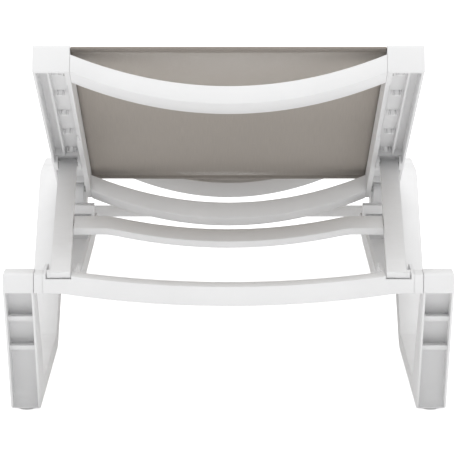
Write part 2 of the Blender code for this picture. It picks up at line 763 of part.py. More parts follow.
def make_hinge_pin(side, material):
    """A shouldered pin from the backrest's outer face through the ear to its inner wall."""
    low, high = across(side, BACK_OUTER + FIT, BACK_OUTER + FIT + PIN_HEAD)
    head = rod_x((HINGE_Y, HINGE_Z), PIN_HEAD_RADIUS, low, high, 16)
    pin = add_object("hinge_pin_" + side_name(side), head, material)
    low, high = across(side, BACK_INNER + 0.0012, BACK_OUTER + FIT + 0.001)
    join(pin, rod_x((HINGE_Y, HINGE_Z), HINGE_PIN_RADIUS - FIT, low, high))
    smooth(pin)


# ---------------------------------------------------------------- backrest


def channel_stretches():
    """The lengths of channel with a spine: from the head end to the bracket, and from there to the hinge."""
    lug = BRACKET_LENGTH / 2 + PLAY
    return (
        (CHANNEL_END_WALL - BACK_LENGTH, -PROP_PLACE - lug - CHANNEL_RIB),
        (-PROP_PLACE + lug + CHANNEL_RIB, HINGE_ROOM - CHANNEL_RIB),
    )


def cut_channel(rail, side):
    """The open channel under a back rail: a trough each side of its spine, and a slit by its inner wall."""
    shelf = CHANNEL_ROOF - CHANNEL_RIB_HEIGHT
    tail = BACK_TAIL + 0.01
    inner, outer = CHANNEL_INNER + NUDGE, CHANNEL_OUTER - NUDGE
    x0, x1 = across(side, CHANNEL_INNER, CHANNEL_OUTER)
    start = CHANNEL_END_WALL - BACK_LENGTH
    cut(rail, box((x0, start, -BACK_BELOW_AXIS - 0.01), (x1, tail, shelf)))
    cut(rail, box((x0, HINGE_ROOM, -0.02), (x1, tail, EAR_RADIUS + SWING)))
    lug = BRACKET_LENGTH / 2 + PLAY
    x0, x1 = across(side, inner, outer)
    cut(rail, box((x0, -PROP_PLACE - lug, shelf - 0.002), (x1, -PROP_PLACE + lug, CHANNEL_ROOF)))
    # Room in the inner wall for the prop's arm, which lies along it when the backrest is flat.
    x0, x1 = across(side, BACK_INNER + RELIEF_WALL, CHANNEL_INNER + NUDGE)
    low = -BACK_BELOW_AXIS - 0.01
    cut(rail, box((x0, -PROP_PLACE - RELIEF_END, low), (x1, -PROP_PLACE - RELIEF_START, RELIEF_ROOF)))
    rib = CHANNEL_RIB / 2
    for first, last in channel_stretches():
        for edges in ((inner, SPINE_MIDDLE - rib), (SPINE_MIDDLE + rib, outer)):
            x0, x1 = across(side, *edges)
            cut(rail, box((x0, first + NUDGE, shelf - 0.002), (x1, last, CHANNEL_ROOF)))
        x0, x1 = across(side, inner, inner + CHANNEL_SLIT)
        depth = CHANNEL_ROOF + CHANNEL_SLIT_DEPTH
        cut(rail, box((x0, first + CHANNEL_RIB, shelf), (x1, last - CHANNEL_RIB, depth)))


def add_bosses(rail, side):
    """Round bosses along the channel's inner trough, each between two short fences."""
    low = CHANNEL_ROOF - CHANNEL_RIB_HEIGHT + BOSS_SINK
    root = CHANNEL_ROOF + 0.001
    middle = (CHANNEL_INNER + CHANNEL_SLIT + SPINE_MIDDLE) / 2
    first, last = channel_stretches()[0]
    place = last - BOSS_START
    while place > first + BOSS_PITCH / 3:
        for gap in (-BOSS_FENCE_GAP, BOSS_FENCE_GAP):
            x0, x1 = across(side, middle + gap - BOSS_FENCE / 2, middle + gap + BOSS_FENCE / 2)
            join(rail, box((x0, place - BOSS_RADIUS, low - NUDGE), (x1, place + BOSS_RADIUS, root)))
        join(rail, prism_z(circle((side * middle, place), BOSS_RADIUS, 10), low, root))
        place -= BOSS_PITCH


def make_back_rail(side, parent, material):
    word = side_name(side)
    low, high = across(side, BACK_INNER, BACK_OUTER)
    outline = rounded(
        [
            (BACK_TAIL, BACK_ABOVE_AXIS, 0.006),
            (BACK_TAIL, -BACK_BELOW_AXIS, 0.010),
            (-BACK_LENGTH, -BACK_BELOW_AXIS, 0.002),
            (-BACK_LENGTH, BACK_ABOVE_AXIS, 0.005),
        ],
        3,
    )
    rail = add_object("back_rail_" + word, prism_x(outline, low, high), material, parent)
    for z, turn in ((BACK_ABOVE_AXIS, -1), (-BACK_BELOW_AXIS, 1)):
        cut(rail, edge_rounder(side, BACK_OUTER, z, turn, BACK_EDGE, -BACK_LENGTH, BACK_TAIL))
    cut_channel(rail, side)
    add_bosses(rail, side)
    cut_groove(rail, side, BACK_INNER, BACK_ABOVE_AXIS, GROOVE_END - BACK_LENGTH, BACK_TAIL + 0.01)
    x0, x1 = across(side, BACK_INNER + 0.0008, BACK_OUTER + 0.01)
    cut(rail, rod_x((0, 0), HINGE_PIN_RADIUS + FIT, x0, x1))
    for y, z in back_bar_screws():
        x0, x1 = across(side, BACK_INNER - 0.01, CHANNEL_INNER + 0.001)
        cut(rail, rod_x((y, z), SCREW_RADIUS + FIT, x0, x1, 8))
    smooth(rail)


def back_bar_places():
    """Name and middle of each backrest crossbar, in the backrest's frame."""
    return {
        "back_crossbar_top": -BACK_LENGTH + BAR_WIDTH / 2,
        "back_crossbar_bottom": BACK_TAIL - BAR_WIDTH / 2 - 0.002,
    }


def back_bar_top():
    return BACK_ABOVE_AXIS - SLING_DROP - BACK_BAR_SET


def head_tip():
    """The Y that the backrest reaches furthest out at the head end: its top crossbar's lowest edge."""
    sag = BACK_BAR_RISE * (BACK_INNER - FIT) ** 2
    return back_point(BACK_LENGTH, back_bar_top() - sag - BAR_THICKNESS, REST_ANGLE)[0]


def back_bar_screws():
    return [(back_bar_places()["back_crossbar_top"], -0.004)] + [
        (back_bar_places()["back_crossbar_bottom"] - 0.017, -0.004)
    ]


def make_backrest(parent, resin, steel, fabric, cord):
    half = BACK_INNER - FIT
    for name, place in back_bar_places().items():
        work = arched_bar(half, BACK_BAR_RISE, BAR_WIDTH, BAR_THICKNESS, back_bar_top(), place)
        bar = add_object(name, work, resin, parent)
        for y, z in back_bar_screws():
            if abs(y - place) < BAR_WIDTH / 2:
                screw_holes(bar, side_screws(half, y, z))
        smooth(bar)
    for side in (-1, 1):
        word = side_name(side)
        make_back_rail(side, parent, resin)
        for part, (y, z) in zip(("top", "bottom"), back_bar_screws()):
            name = f"back_screw_{part}_{word}"
            make_screw(name, side, CHANNEL_INNER, y, z, steel, parent)
        make_prop_bracket(side, parent, resin)
    low, high = -BACK_LENGTH + 0.001, BACK_TAIL - 0.004
    tail = BACK_TAIL + SLING_OVERHANG
    make_sling("back_sling", low, tail, BACK_INNER, BACK_ABOVE_AXIS, fabric, parent)
    low += GROOVE_END
    make_splines("back_spline_", low, high, BACK_INNER, BACK_ABOVE_AXIS, cord, parent)


def make_sling(name, low, high, edge, top, material, parent=None):
    middle = top - SLING_DROP
    half = edge - SLING_EDGE
    thick = SLING_THICKNESS / 2
    work = box((-half, low, middle - thick), (half, high, middle + thick))
    add_object(name, work, material, parent)


def make_splines(name, low, high, edge, top, material, parent=None):
    """The rods that lock the sling's hems in the rails' grooves."""
    for side in (-1, 1):
        middle = (side * (edge + GROOVE_INSET), top - SLING_DROP)
        smooth(
            add_object(name + side_name(side), rod_y(middle, SPLINE_RADIUS, low, high, 8), material, parent)
        )


def make_prop_bracket(side, parent, material):
    """A fork in the channel, with a lug each side of the prop's arm."""
    low, high = across(side, CHANNEL_INNER + FIT, CHANNEL_OUTER - FIT)
    lug = BRACKET_LENGTH / 2
    bottom = -PROP_DROP - BRACKET_LUG_DROP
    outline = rounded(
        [
            (-PROP_PLACE + lug, CHANNEL_ROOF - FIT, 0),
            (-PROP_PLACE + lug, bottom, 0.009),
            (-PROP_PLACE - lug, bottom, 0.009),
            (-PROP_PLACE - lug, CHANNEL_ROOF - FIT, 0),
        ]
    )
    bracket = add_object("prop_bracket_" + side_name(side), prism_x(outline, low, high), material, parent)
    reach = ARM_HALF + PLAY
    x0, x1 = across(side, PROP_MIDDLE - reach, PROP_MIDDLE + reach)
    roof = -PROP_DROP + BRACKET_TURN_ROOM
    cut(bracket, box((x0, -PROP_PLACE - lug - 0.01, bottom - 0.01), (x1, -PROP_PLACE + lug + 0.01, roof)))
    cut(bracket, rod_x((-PROP_PLACE, -PROP_DROP), PROP_PIN_RADIUS + FIT, low - 0.01, high + 0.01))
    smooth(bracket)


# ---------------------------------------------------------------- prop frame


def arm_shift(y):
    """How far an arm's middle lies from the pivot's middle, at a place along the arm."""
    return PROP_SPLAY * y / PROP_LENGTH


def make_prop_arm(side, parent, material):
    half = PROP_ARM_THICKNESS / 2
    foot = -PROP_LENGTH - PROP_TOE
    toe = PROP_FOOT_THICKNESS / 2
    outline = rounded(
        [
            (0.010, half, 0.0075),
            (0.010, -half, 0.0075),
            (foot + PROP_FOOT_LENGTH + 0.02, -half, 0.03),
            (foot + PROP_FOOT_LENGTH, -toe, 0),
            (foot, -toe, 0.002),
            (foot, toe, 0.002),
            (foot + PROP_FOOT_LENGTH, toe + 0.001, 0),
            (foot + PROP_FOOT_LENGTH + 0.02, half, 0.03),
        ]
    )
    sections = []
    for edge in (-ARM_HALF, ARM_HALF):
        sections.append([(side * (PROP_MIDDLE + arm_shift(y) + edge), y, z) for y, z in outline])
    arm = add_object("prop_arm_" + side_name(side), loft(sections), material, parent)
    # The toe is wider than the arm, outwards.
    edge = PROP_MIDDLE + arm_shift(foot) + ARM_HALF
    x0, x1 = across(side, edge - ARM_HALF, edge + PROP_TOE_FLARE)
    join(arm, box((x0, foot + NUDGE, NUDGE - toe), (x1, foot + PROP_TOE_LENGTH, toe - NUDGE)))
    middle = side * PROP_MIDDLE
    cut(arm, rod_x((0, 0), PROP_PIN_RADIUS + FIT, middle - 0.03, middle + 0.03))
    edge, y, z = prop_bar_screw()
    low, high = across(side, edge - 0.03, edge + 0.06)
    cut(arm, rod_x((y, z), SCREW_RADIUS + FIT, low, high, 8))
    low, high = across(side, edge + PROP_SCREW_SEAT, edge + 0.06)
    cut(arm, rod_x((y, z), SCREW_HEAD_RADIUS + 0.001, low, high))
    smooth(arm)


def prop_bar_half():
    """Half the length of the bar between the prop's arms, at the end nearer the feet."""
    nearest = PROP_BAR_Y - BAR_WIDTH / 2
    return PROP_MIDDLE + arm_shift(nearest) - ARM_HALF - FIT


def prop_bar_screw():
    """An arm's inner face, and the (y, z) of the screw through it into the bar's end."""
    return PROP_MIDDLE + arm_shift(PROP_BAR_Y) - ARM_HALF, PROP_BAR_Y, -PROP_BAR_SET


def make_prop(parent, resin, steel):
    top = PROP_BAR_THICKNESS / 2 - PROP_BAR_SET
    work = arched_bar(
        prop_bar_half(), PROP_BAR_RISE, BAR_WIDTH, PROP_BAR_THICKNESS, top, PROP_BAR_Y, PROP_BAR_FLAT
    )
    bar = add_object("prop_crossbar", work, resin, parent)
    screw_holes(bar, side_screws(prop_bar_half(), PROP_BAR_Y, -PROP_BAR_SET))
    smooth(bar)
    for side in (-1, 1):
        make_prop_arm(side, parent, resin)
        edge, y, z = prop_bar_screw()
        name = "prop_screw_" + side_name(side)
        make_screw(name, side, edge + PROP_SCREW_SEAT, y, z, steel, parent)


def make_prop_pin(side, parent, material):
    low, high = across(side, CHANNEL_INNER + 2 * FIT, CHANNEL_OUTER - 2 * FIT)
    work = rod_x((-PROP_PLACE, -PROP_DROP), PROP_PIN_RADIUS - FIT, low, high)
    smooth(add_object("prop_pin_" + side_name(side), work, material, parent))


# ---------------------------------------------------------------- the lounger


def make_base_screws(steel):
    """Screws from inside the seat rails into the crossbars and outwards into the legs."""
    for side in (-1, 1):
        word = side_name(side)
        for part, place in seat_bar_places().items():
            face = RAIL_INNER + RAIL_CHANNEL_WALL
            make_screw(f"seat_screw_{part}_{word}", side, face, place, SEAT_BAR_MIDDLE, steel)
        for part, place in leg_screw_places().items():
            face = RAIL_OUTER - RAIL_CHANNEL_WALL
            make_screw(f"leg_screw_{part}_{word}", side, face, place, LEG_SCREW_Z, steel, None, -1)
        y, z = block_screw_place()
        make_screw("block_screw_" + word, side, LEG_INNER + BLOCK_SCREW_SEAT, y, z, steel)


def main():
    clear_scene()
    resin = plastic("white_resin", (0.87, 0.87, 0.87), 0.45)
    rubber = plastic("glide_resin", (0.72, 0.72, 0.72), 0.6)
    cord = plastic("spline_resin", (0.55, 0.53, 0.50), 0.5)
    fabric = plastic("taupe_mesh", (0.33, 0.29, 0.26), 0.8)
    steel = metal("steel", (0.62, 0.62, 0.62), 0.35)

    make_legs(resin, rubber)
    make_head_crossbar(resin)
    make_seat_crossbars(resin)
    make_stretcher(resin)
    make_base_screws(steel)
    for side in (-1, 1):
        make_base_rail(side, resin)
        make_hinge_pin(side, steel)
    make_sling("seat_sling", RAIL_START + 0.004, FOOT_Y - 0.004, RAIL_INNER, SEAT_HEIGHT, fabric)
    make_splines("seat_spline_", RAIL_START + 0.004, FOOT_Y - 0.007, RAIL_INNER, SEAT_HEIGHT, cord)

    backrest = bpy.data.objects.new("backrest", None)
    bpy.context.scene.collection.objects.link(backrest)
    backrest.location = (0, HINGE_Y, HINGE_Z)
    backrest.rotation_euler = (-REST_ANGLE, 0, 0)
    make_backrest(backrest, resin, steel, fabric, cord)
    for side in (-1, 1):
        make_prop_pin(side, backrest, steel)

    prop = bpy.data.objects.new("prop", None)
    bpy.context.scene.collection.objects.link(prop)
    prop.parent = backrest
    prop.location = (0, -PROP_PLACE, -PROP_DROP)
    prop.rotation_euler = (REST_ANGLE + PROP_SLOPE, 0, 0)
    make_prop(prop, resin, steel)

    lounger = bpy.data.objects.new("lounger", None)
    for item in bpy.context.scene.collection.objects:
        if item.parent is None:
            item.parent = lounger
    bpy.context.scene.collection.objects.link(lounger)
    lounger.location = (0, -(head_tip() + FOOT_Y) / 2, 0)


main()
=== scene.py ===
"""A reclining sun lounger in white moulded resin with taupe mesh slings, on a pale studio floor."""

import json
import math

import bmesh
import bpy
from mathutils import Matrix, Vector, noise


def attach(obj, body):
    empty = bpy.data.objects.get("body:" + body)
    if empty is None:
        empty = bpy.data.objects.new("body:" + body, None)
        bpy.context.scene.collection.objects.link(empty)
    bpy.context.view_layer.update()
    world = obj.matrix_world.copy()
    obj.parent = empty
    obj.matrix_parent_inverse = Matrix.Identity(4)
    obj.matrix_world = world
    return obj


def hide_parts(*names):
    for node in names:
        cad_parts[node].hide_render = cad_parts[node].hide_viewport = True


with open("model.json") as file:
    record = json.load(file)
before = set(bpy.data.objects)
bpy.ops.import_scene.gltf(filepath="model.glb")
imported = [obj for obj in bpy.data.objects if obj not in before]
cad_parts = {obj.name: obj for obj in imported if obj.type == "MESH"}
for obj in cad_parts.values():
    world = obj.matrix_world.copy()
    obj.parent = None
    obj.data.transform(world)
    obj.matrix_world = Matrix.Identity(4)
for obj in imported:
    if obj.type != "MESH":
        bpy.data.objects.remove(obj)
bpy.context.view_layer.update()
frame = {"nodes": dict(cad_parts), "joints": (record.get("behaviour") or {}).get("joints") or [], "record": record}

# The backrest's own frame: origin on the hinge axis, -Y to the head end, +Z out of its upper side.
HINGE = next(joint for joint in frame["joints"] if joint["name"] == "backrest_hinge")
REST_ANGLE = math.radians(-HINGE["range_deg"][0])
BACKREST = Matrix.Translation(HINGE["pos_m"]) @ Matrix.Rotation(-REST_ANGLE, 4, "X")
SEAT = Matrix.Identity(4)

SHEET_THICKNESS = 0.0011
SHEET_SAG = 0.0035
SHEET_TUCK = 0.0040
GROOVE_END_ROOM = 0.0115
HEM_WIDTH = 0.024
HEM_THICKNESS = 0.0024
HEM_ROLL = 0.0015
HEM_EDGE_STEP = 0.0008
HEM_GAP = 0.0001
HEM_SHARE_OF_WIDTH = 0.999
STITCH_PITCH = 0.0042
STITCH_LENGTH = 0.0031
STITCH_HALF_WIDTH = 0.00042
STITCH_HALF_HEIGHT = 0.00045
STITCH_SIDES = 6
STITCH_END_ROOM = 0.012
OUTER_ROW_INSET = 0.0105
INNER_ROW_INSET = 0.0035
YARN_PITCH = 0.0012

SHEET_COLUMNS = 40
SHEET_ROW_LENGTH = 0.02
FEWEST_SHEET_ROWS = 24
HEM_ROUND_STEPS = 8

RESIN_IOR = 1.48
RESIN_GRAIN = 900.0
DUST_COLOUR = (0.62, 0.60, 0.56, 1)

FLOOR_RADIUS = 40
FLOOR_SIDES = 64
FLOOR_GLOW_UNSEEN = 0.14
FLOOR_GLOW_SEEN = 0.80
SKY_UNSEEN = 0.83
SKY_SEEN = 1.0
CAMERA_PLACE = (0, -5.8435, 1.106)
CAMERA_TILT = math.radians(81)
LENS_LENGTH = 245.4
FILM_WIDTH = 36
FARTHEST_SEEN = 200


# ---------------------------------------------------------------- node trees


def place_node(tree, kind, **settings):
    node = tree.nodes.new(kind)
    for name, value in settings.items():
        setattr(node, name, value)
    return node


def feed(tree, socket, value):
    """Sets a socket to a number or a colour, or links another socket to it."""
    if isinstance(value, bpy.types.NodeSocket):
        tree.links.new(value, socket)
    else:
        socket.default_value = value


def reckon(tree, operation, *values):
    node = place_node(tree, "ShaderNodeMath", operation=operation)
    for socket, value in zip(node.inputs, values):
        feed(tree, socket, value)
    return node.outputs[0]


def spread(tree, value, low, high, to_low, to_high):
    """A value from one range stretched onto another, held at its ends."""
    node = place_node(tree, "ShaderNodeMapRange")
    for socket, given in zip(node.inputs, (value, low, high, to_low, to_high)):
        feed(tree, socket, given)
    return node.outputs[0]


def cloudy(tree, vector, scale, detail=2.0, roughness=0.5):
    node = place_node(tree, "ShaderNodeTexNoise")
    feed(tree, node.inputs["Vector"], vector)
    feed(tree, node.inputs["Scale"], scale)
    node.inputs["Detail"].default_value = detail
    node.inputs["Roughness"].default_value = roughness
    return node.outputs["Fac"]


def stretched(tree, vector, factors):
    node = place_node(tree, "ShaderNodeVectorMath", operation="MULTIPLY")
    feed(tree, node.inputs[0], vector)
    node.inputs[1].default_value = factors
    return node.outputs[0]


def blended(tree, share, first, second):
    node = place_node(tree, "ShaderNodeMix", data_type="RGBA")
    feed(tree, node.inputs["Factor"], share)
    feed(tree, node.inputs[6], first)
    feed(tree, node.inputs[7], second)
    return node.outputs[2]


def shared_effect(name, inputs, outputs):
    """An empty node group with named sockets; inputs are (name, kind, start value)."""
    group = bpy.data.node_groups.new(name, "ShaderNodeTree")
    for label, kind, value in inputs:
        socket = group.interface.new_socket(label, in_out="INPUT", socket_type="NodeSocket" + kind)
        if value is not None:
            socket.default_value = value
    for label, kind in outputs:
        group.interface.new_socket(label, in_out="OUTPUT", socket_type="NodeSocket" + kind)
    return group, group.nodes.new("NodeGroupInput").outputs, group.nodes.new("NodeGroupOutput").inputs


def use_effect(tree, group, **values):
    node = place_node(tree, "ShaderNodeGroup", node_tree=group)
    for label, value in values.items():
        feed(tree, node.inputs[label.replace("_", " ")], value)
    return node.outputs


def spark_grain():
    """The fine eroded grain of a moulding, with broad flow mottling below it."""
    group, given, result = shared_effect(
        "spark grain",
        [("Vector", "Vector", None), ("Grain", "Float", RESIN_GRAIN), ("Mottle", "Float", 9.0)],
        [("Height", "Float"), ("Tone", "Float")],
    )
    fine = cloudy(group, given["Vector"], given["Grain"], 3.0, 0.6)
    pits = place_node(group, "ShaderNodeTexVoronoi", feature="SMOOTH_F1")
    feed(group, pits.inputs["Vector"], given["Vector"])
    feed(group, pits.inputs["Scale"], reckon(group, "MULTIPLY", given["Grain"], 0.6))
    flow = cloudy(group, given["Vector"], given["Mottle"], 4.0)
    height = reckon(group, "ADD", fine, reckon(group, "MULTIPLY", pits.outputs["Distance"], 0.5))
    feed(group, result["Height"], height)
    feed(group, result["Tone"], spread(group, flow, 0.3, 0.7, 0.0, 1.0))
    return group


def handling_marks():
    """Faint rubs in long strokes, and the dust that settles on upward faces and near the floor."""
    group, given, result = shared_effect(
        "handling marks", [("Vector", "Vector", None)], [("Rubs", "Float"), ("Dust", "Float")]
    )
    strokes = cloudy(group, stretched(group, given["Vector"], (60, 9, 60)), 1.0, 5.0, 0.65)
    patches = cloudy(group, given["Vector"], 5.0)
    rubs = reckon(group, "MULTIPLY", spread(group, strokes, 0.58, 0.75, 0, 1), patches)
    feed(group, result["Rubs"], rubs)
    facing = place_node(group, "ShaderNodeSeparateXYZ")
    feed(group, facing.inputs[0], place_node(group, "ShaderNodeNewGeometry").outputs["Normal"])
    place = place_node(group, "ShaderNodeSeparateXYZ")
    feed(group, place.inputs[0], given["Vector"])
    upward = spread(group, facing.outputs["Z"], 0.6, 1.0, 0, 0.5)
    low_down = spread(group, place.outputs["Z"], 0.0, 0.05, 0.8, 0)
    speckle = spread(group, cloudy(group, given["Vector"], 45.0, 6.0, 0.7), 0.35, 0.75, 0, 1)
    settled = reckon(group, "MULTIPLY", reckon(group, "MAXIMUM", upward, low_down), speckle)
    feed(group, result["Dust"], settled)
    return group


def open_weave():
    """A plain weave of round coated yarns: its relief, which yarn is on top, and the gaps between."""
    group, given, result = shared_effect(
        "open weave",
        [("Vector", "Vector", None), ("Pitch", "Float", YARN_PITCH), ("Gap", "Float", 0.22)],
        [("Height", "Float"), ("Weft", "Float"), ("Hole", "Float"), ("Slub", "Float")],
    )
    place = place_node(group, "ShaderNodeSeparateXYZ")
    feed(group, place.inputs[0], given["Vector"])
    across = reckon(group, "DIVIDE", place.outputs["X"], given["Pitch"])
    along = reckon(group, "DIVIDE", place.outputs["Y"], given["Pitch"])
    off_warp = reckon(group, "ABSOLUTE", reckon(group, "SUBTRACT", reckon(group, "FRACT", across), 0.5))
    off_weft = reckon(group, "ABSOLUTE", reckon(group, "SUBTRACT", reckon(group, "FRACT", along), 0.5))
    cells = reckon(group, "ADD", reckon(group, "FLOOR", across), reckon(group, "FLOOR", along))
    turn = reckon(group, "PINGPONG", cells, 1.0)
    side = reckon(group, "SUBTRACT", reckon(group, "MULTIPLY", turn, 2.0), 1.0)

    def yarn(off, other, over):
        round_top = reckon(group, "COSINE", reckon(group, "MULTIPLY", off, math.pi))
        lift = reckon(group, "COSINE", reckon(group, "MULTIPLY", other, math.pi))
        lift = reckon(group, "MULTIPLY", lift, over)
        return reckon(group, "MULTIPLY", round_top, reckon(group, "MULTIPLY_ADD", lift, 0.35, 0.65))

    warp = yarn(off_warp, off_weft, side)
    weft = yarn(off_weft, off_warp, reckon(group, "MULTIPLY", side, -1.0))
    edge = reckon(group, "SUBTRACT", 0.5, reckon(group, "MULTIPLY", given["Gap"], 0.5))
    hole = reckon(
        group,
        "MULTIPLY",
        reckon(group, "GREATER_THAN", off_warp, edge),
        reckon(group, "GREATER_THAN", off_weft, edge),
    )
    feed(group, result["Height"], reckon(group, "MAXIMUM", warp, weft))
    feed(group, result["Weft"], reckon(group, "GREATER_THAN", weft, warp))
    feed(group, result["Hole"], hole)
    streak = cloudy(group, stretched(group, given["Vector"], (900, 14, 1)), 1.0, 2.0)
    feed(group, result["Slub"], streak)
    return group


GRAIN = spark_grain()
MARKS = handling_marks()
WEAVE = open_weave()


# ---------------------------------------------------------------- materials


def new_finish(name):
    material = bpy.data.materials.new(name)
    material.use_nodes = True
    return material, material.node_tree, material.node_tree.nodes["Principled BSDF"]


def object_place(tree):
    return place_node(tree, "ShaderNodeTexCoord").outputs["Object"]


def moulded(name, colour, shade, roughness, grain=RESIN_GRAIN, relief=0.00012, corner=0.0012):
    """Moulded resin: fine grain, flow mottling, faint rubs and dust, and corners that catch the light."""
    material, tree, shader = new_finish(name)
    place = object_place(tree)
    skin = use_effect(tree, GRAIN, Vector=place, Grain=grain)
    marks = use_effect(tree, MARKS, Vector=place)
    body = blended(tree, skin["Tone"], (*colour, 1), (*shade, 1))
    dusty = blended(tree, reckon(tree, "MULTIPLY", marks["Dust"], 0.18), body, DUST_COLOUR)
    feed(tree, shader.inputs["Base Color"], dusty)
    worn = reckon(tree, "MULTIPLY_ADD", marks["Rubs"], -0.10, roughness)
    dull = reckon(tree, "MULTIPLY_ADD", marks["Dust"], 0.15, worn)
    feed(tree, shader.inputs["Roughness"], dull)
    shader.inputs["IOR"].default_value = RESIN_IOR
    round_corner = place_node(tree, "ShaderNodeBevel", samples=6)
    round_corner.inputs["Radius"].default_value = corner
    bump = place_node(tree, "ShaderNodeBump")
    bump.inputs["Strength"].default_value = 0.35
    bump.inputs["Distance"].default_value = relief
    feed(tree, bump.inputs["Height"], skin["Height"])
    feed(tree, bump.inputs["Normal"], round_corner.outputs[0])
    feed(tree, shader.inputs["Normal"], bump.outputs[0])
    return material


def mesh_fabric(name, warp, weft, pitch, gap):
    """Coated yarns in an open weave, a little light showing between them."""
    material, tree, shader = new_finish(name)
    place = place_node(tree, "ShaderNodeUVMap", uv_map="cloth").outputs[0]
    weave = use_effect(tree, WEAVE, Vector=place, Pitch=pitch, Gap=gap)
    threads = blended(tree, weave["Weft"], (*warp, 1), (*weft, 1))
    pale = tuple(min(1, value * 1.18) for value in warp)
    slubs = spread(tree, weave["Slub"], 0.35, 0.75, 0, 0.5)
    threads = blended(tree, slubs, threads, (*pale, 1))
    broad = spread(tree, cloudy(tree, place, 3.5, 3.0), 0.35, 0.65, 0, 0.22)
    feed(tree, shader.inputs["Base Color"], blended(tree, broad, threads, (*(v * 0.8 for v in warp), 1)))
    feed(tree, shader.inputs["Roughness"], spread(tree, weave["Height"], 0.2, 1.0, 0.78, 0.52))
    feed(tree, shader.inputs["Alpha"], reckon(tree, "SUBTRACT", 1.0, weave["Hole"]))
    shader.inputs["Sheen Weight"].default_value = 0.12
    shader.inputs["Sheen Roughness"].default_value = 0.5
    bump = place_node(tree, "ShaderNodeBump")
    bump.inputs["Strength"].default_value = 0.6
    bump.inputs["Distance"].default_value = 0.0003
    feed(tree, bump.inputs["Height"], weave["Height"])
    feed(tree, shader.inputs["Normal"], bump.outputs[0])
    return material


def turned_steel(name):
    """Stainless screws and pins with fine turning lines."""
    material, tree, shader = new_finish(name)
    place = object_place(tree)
    lines = cloudy(tree, stretched(tree, place, (4000, 700, 700)), 1.0, 2.0)
    stain = cloudy(tree, place, 160.0, 3.0)
    steel = blended(tree, stain, (0.62, 0.62, 0.61, 1), (0.50, 0.50, 0.50, 1))
    feed(tree, shader.inputs["Base Color"], steel)
    shader.inputs["Metallic"].default_value = 1.0
    feed(tree, shader.inputs["Roughness"], spread(tree, lines, 0.3, 0.7, 0.24, 0.42))
    return material


RESIN = moulded("white moulded resin", (0.90, 0.90, 0.903), (0.865, 0.865, 0.868), 0.44)
GLIDE = moulded("glide resin", (0.70, 0.70, 0.69), (0.62, 0.62, 0.61), 0.58, grain=600.0)
CORD = moulded("sling rod resin", (0.42, 0.39, 0.36), (0.36, 0.34, 0.31), 0.5, corner=0.0003)
STEEL = turned_steel("turned stainless steel")
MESH = mesh_fabric("taupe coated mesh", (0.465, 0.420, 0.372), (0.418, 0.376, 0.333), YARN_PITCH, 0.26)
# The hem is doubled cloth with no gaps. Its colours are set darker than the sheet's as painted shade, to give the
# dark line along each sling's end.
HEM = mesh_fabric("taupe hem, darkened as painted shade", (0.375, 0.333, 0.297), (0.335, 0.296, 0.264), YARN_PITCH, 0.0)
THREAD = moulded("hem thread", (0.33, 0.29, 0.26), (0.28, 0.25, 0.22), 0.6, grain=4000.0, corner=0.0001)

FINISHES = {
    "white_resin": RESIN,
    "glide_resin": GLIDE,
    "spline_resin": CORD,
    "steel": STEEL,
    "taupe_mesh": MESH,
}


# ---------------------------------------------------------------- the moulded frame


def dress_frame():
    """The frame's own pieces keep their shapes and get their finishes, with smooth curves and crisp edges."""
    for part in frame["record"]["subparts"]:
        piece = frame["nodes"][part["node"]]
        piece.data.materials.clear()
        piece.data.materials.append(FINISHES[part["material_slot"]])
        custom = piece.data.attributes.get("custom_normal")
        if custom:
            piece.data.attributes.remove(custom)
        piece.data.shade_smooth()
        joined = piece.modifiers.new("joined_corners", "WELD")
        joined.merge_threshold = 0.00001
        crisp = piece.modifiers.new("crisp_edges", "EDGE_SPLIT")
        crisp.split_angle = math.radians(30)


# ---------------------------------------------------------------- slings


def box_in(node, home):
    """A node's corners in a body's own frame."""
    inverse = home.inverted()
    points = [inverse @ vertex.co for vertex in frame["nodes"][node].data.vertices]
    low = Vector(min(point[i] for point in points) for i in range(3))
    high = Vector(max(point[i] for point in points) for i in range(3))
    return low, high


def mesh_piece(name, work, home, finish, body):
    """An object from a bmesh made in a body's own frame."""
    bmesh.ops.recalc_face_normals(work, faces=work.faces[:])
    work.transform(home)
    mesh = bpy.data.meshes.new(name)
    work.to_mesh(mesh)
    work.free()
    mesh.materials.append(finish)
    mesh.shade_smooth()
    piece = bpy.data.objects.new(name, mesh)
    bpy.context.scene.collection.objects.link(piece)
    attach(piece, body)
    return piece


def share(low, high, value):
    return (value - low) / (high - low)


def sheet_height(x, y, low, high):
    """How far the stretched sheet hangs below its line, with the faint waves that tension leaves."""
    middle = (low.z + high.z) / 2
    over = 1 - (x / high.x) ** 2
    lengthways = max(math.sin(math.pi * min(max(share(low.y, high.y, y), 0), 1)), 0) ** 0.6
    wave = noise.noise(Vector((x * 5, y * 3, 7.3))) * 0.0006
    return middle - over * lengthways * (SHEET_SAG + wave)


